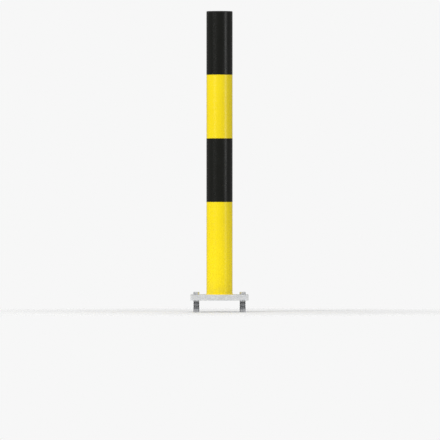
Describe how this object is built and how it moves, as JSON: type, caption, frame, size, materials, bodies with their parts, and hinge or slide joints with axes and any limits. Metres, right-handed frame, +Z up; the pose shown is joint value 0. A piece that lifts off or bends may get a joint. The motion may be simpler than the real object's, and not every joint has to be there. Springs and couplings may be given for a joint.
{
  "type": "bolt-down steel bollard",
  "caption": "Fixed round steel bollard in yellow and black fields, welded to a square base plate that bolts down into expanding ground anchors.",
  "frame": {"origin": "centre of the base plate's underside, at ground level", "axes": "+Z up the post; -Y is the front, the side of the drawn view; the film's seam is at the back, +Y; +X is to the right seen from the front"},
  "size_m": [0.2, 0.2, 1.04],
  "materials": {
    "yellow_powder_coat": "traffic yellow powder coat, semi-gloss with a fine orange peel",
    "black_film": "self-adhesive black vinyl film, satin",
    "black_plastic": "moulded black polyethylene, finely grained",
    "galvanised_steel": "hot-dip galvanised, pale spangle",
    "shield_steel": "pressed steel, dull zinc plated",
    "zinc_plated_steel": "bright zinc plated"
  },
  "bodies": {
    "bollard": {"post_tube": "yellow_powder_coat", "foot_weld": "yellow_powder_coat", "post_cap": "black_plastic", "black_band_top": "black_film", "black_band_lower": "black_film", "base_plate": "galvanised_steel", "shield_segment_1_front_left": "shield_steel", "shield_segment_2_front_left": "shield_steel", "shield_segment_3_front_left": "shield_steel", "shield_segment_4_front_left": "shield_steel", "shield_collar_front_left": "zinc_plated_steel", "shield_spring_ring_front_left": "zinc_plated_steel", "wedge_nut_front_left": "zinc_plated_steel", "shield_segment_1_front_right": "shield_steel", "shield_segment_2_front_right": "shield_steel", "shield_segment_3_front_right": "shield_steel", "shield_segment_4_front_right": "shield_steel", "shield_collar_front_right": "zinc_plated_steel", "shield_spring_ring_front_right": "zinc_plated_steel", "wedge_nut_front_right": "zinc_plated_steel", "shield_segment_1_back_left": "shield_steel", "shield_segment_2_back_left": "shield_steel", "shield_segment_3_back_left": "shield_steel", "shield_segment_4_back_left": "shield_steel", "shield_collar_back_left": "zinc_plated_steel", "shield_spring_ring_back_left": "zinc_plated_steel", "wedge_nut_back_left": "zinc_plated_steel", "shield_segment_1_back_right": "shield_steel", "shield_segment_2_back_right": "shield_steel", "shield_segment_3_back_right": "shield_steel", "shield_segment_4_back_right": "shield_steel", "shield_collar_back_right": "zinc_plated_steel", "shield_spring_ring_back_right": "zinc_plated_steel", "wedge_nut_back_right": "zinc_plated_steel"},
    "washer_front_left": {"lock_washer_front_left": "zinc_plated_steel"},
    "bolt_front_left": {"anchor_bolt_front_left": "zinc_plated_steel"},
    "washer_front_right": {"lock_washer_front_right": "zinc_plated_steel"},
    "bolt_front_right": {"anchor_bolt_front_right": "zinc_plated_steel"},
    "washer_back_left": {"lock_washer_back_left": "zinc_plated_steel"},
    "bolt_back_left": {"anchor_bolt_back_left": "zinc_plated_steel"},
    "washer_back_right": {"lock_washer_back_right": "zinc_plated_steel"},
    "bolt_back_right": {"anchor_bolt_back_right": "zinc_plated_steel"}
  },
  "joints": [
    {"name": "bolt_lift_front_left", "type": "slide", "parent": "bollard", "child": "washer_front_left", "axis": [0, 0, 1], "range_m": [0, 0.0175]},
    {"name": "bolt_turn_front_left", "type": "hinge", "parent": "washer_front_left", "child": "bolt_front_left", "pos_m": [-0.08, -0.08, 0], "axis": [0, 0, 1], "range_deg": [0, 3600]},
    {"name": "bolt_lift_front_right", "type": "slide", "parent": "bollard", "child": "washer_front_right", "axis": [0, 0, 1], "range_m": [0, 0.0175]},
    {"name": "bolt_turn_front_right", "type": "hinge", "parent": "washer_front_right", "child": "bolt_front_right", "pos_m": [0.08, -0.08, 0], "axis": [0, 0, 1], "range_deg": [0, 3600]},
    {"name": "bolt_lift_back_left", "type": "slide", "parent": "bollard", "child": "washer_back_left", "axis": [0, 0, 1], "range_m": [0, 0.0175]},
    {"name": "bolt_turn_back_left", "type": "hinge", "parent": "washer_back_left", "child": "bolt_back_left", "pos_m": [-0.08, 0.08, 0], "axis": [0, 0, 1], "range_deg": [0, 3600]},
    {"name": "bolt_lift_back_right", "type": "slide", "parent": "bollard", "child": "washer_back_right", "axis": [0, 0, 1], "range_m": [0, 0.0175]},
    {"name": "bolt_turn_back_right", "type": "hinge", "parent": "washer_back_right", "child": "bolt_back_right", "pos_m": [0.08, 0.08, 0], "axis": [0, 0, 1], "range_deg": [0, 3600]}
  ],
  "couplings": [
    {"joint": "bolt_turn_front_left", "follows": "bolt_lift_front_left", "rad_per_m": 3590.4},
    {"joint": "bolt_turn_front_right", "follows": "bolt_lift_front_right", "rad_per_m": 3590.4},
    {"joint": "bolt_turn_back_left", "follows": "bolt_lift_back_left", "rad_per_m": 3590.4},
    {"joint": "bolt_turn_back_right", "follows": "bolt_lift_back_right", "rad_per_m": 3590.4}
  ]
}
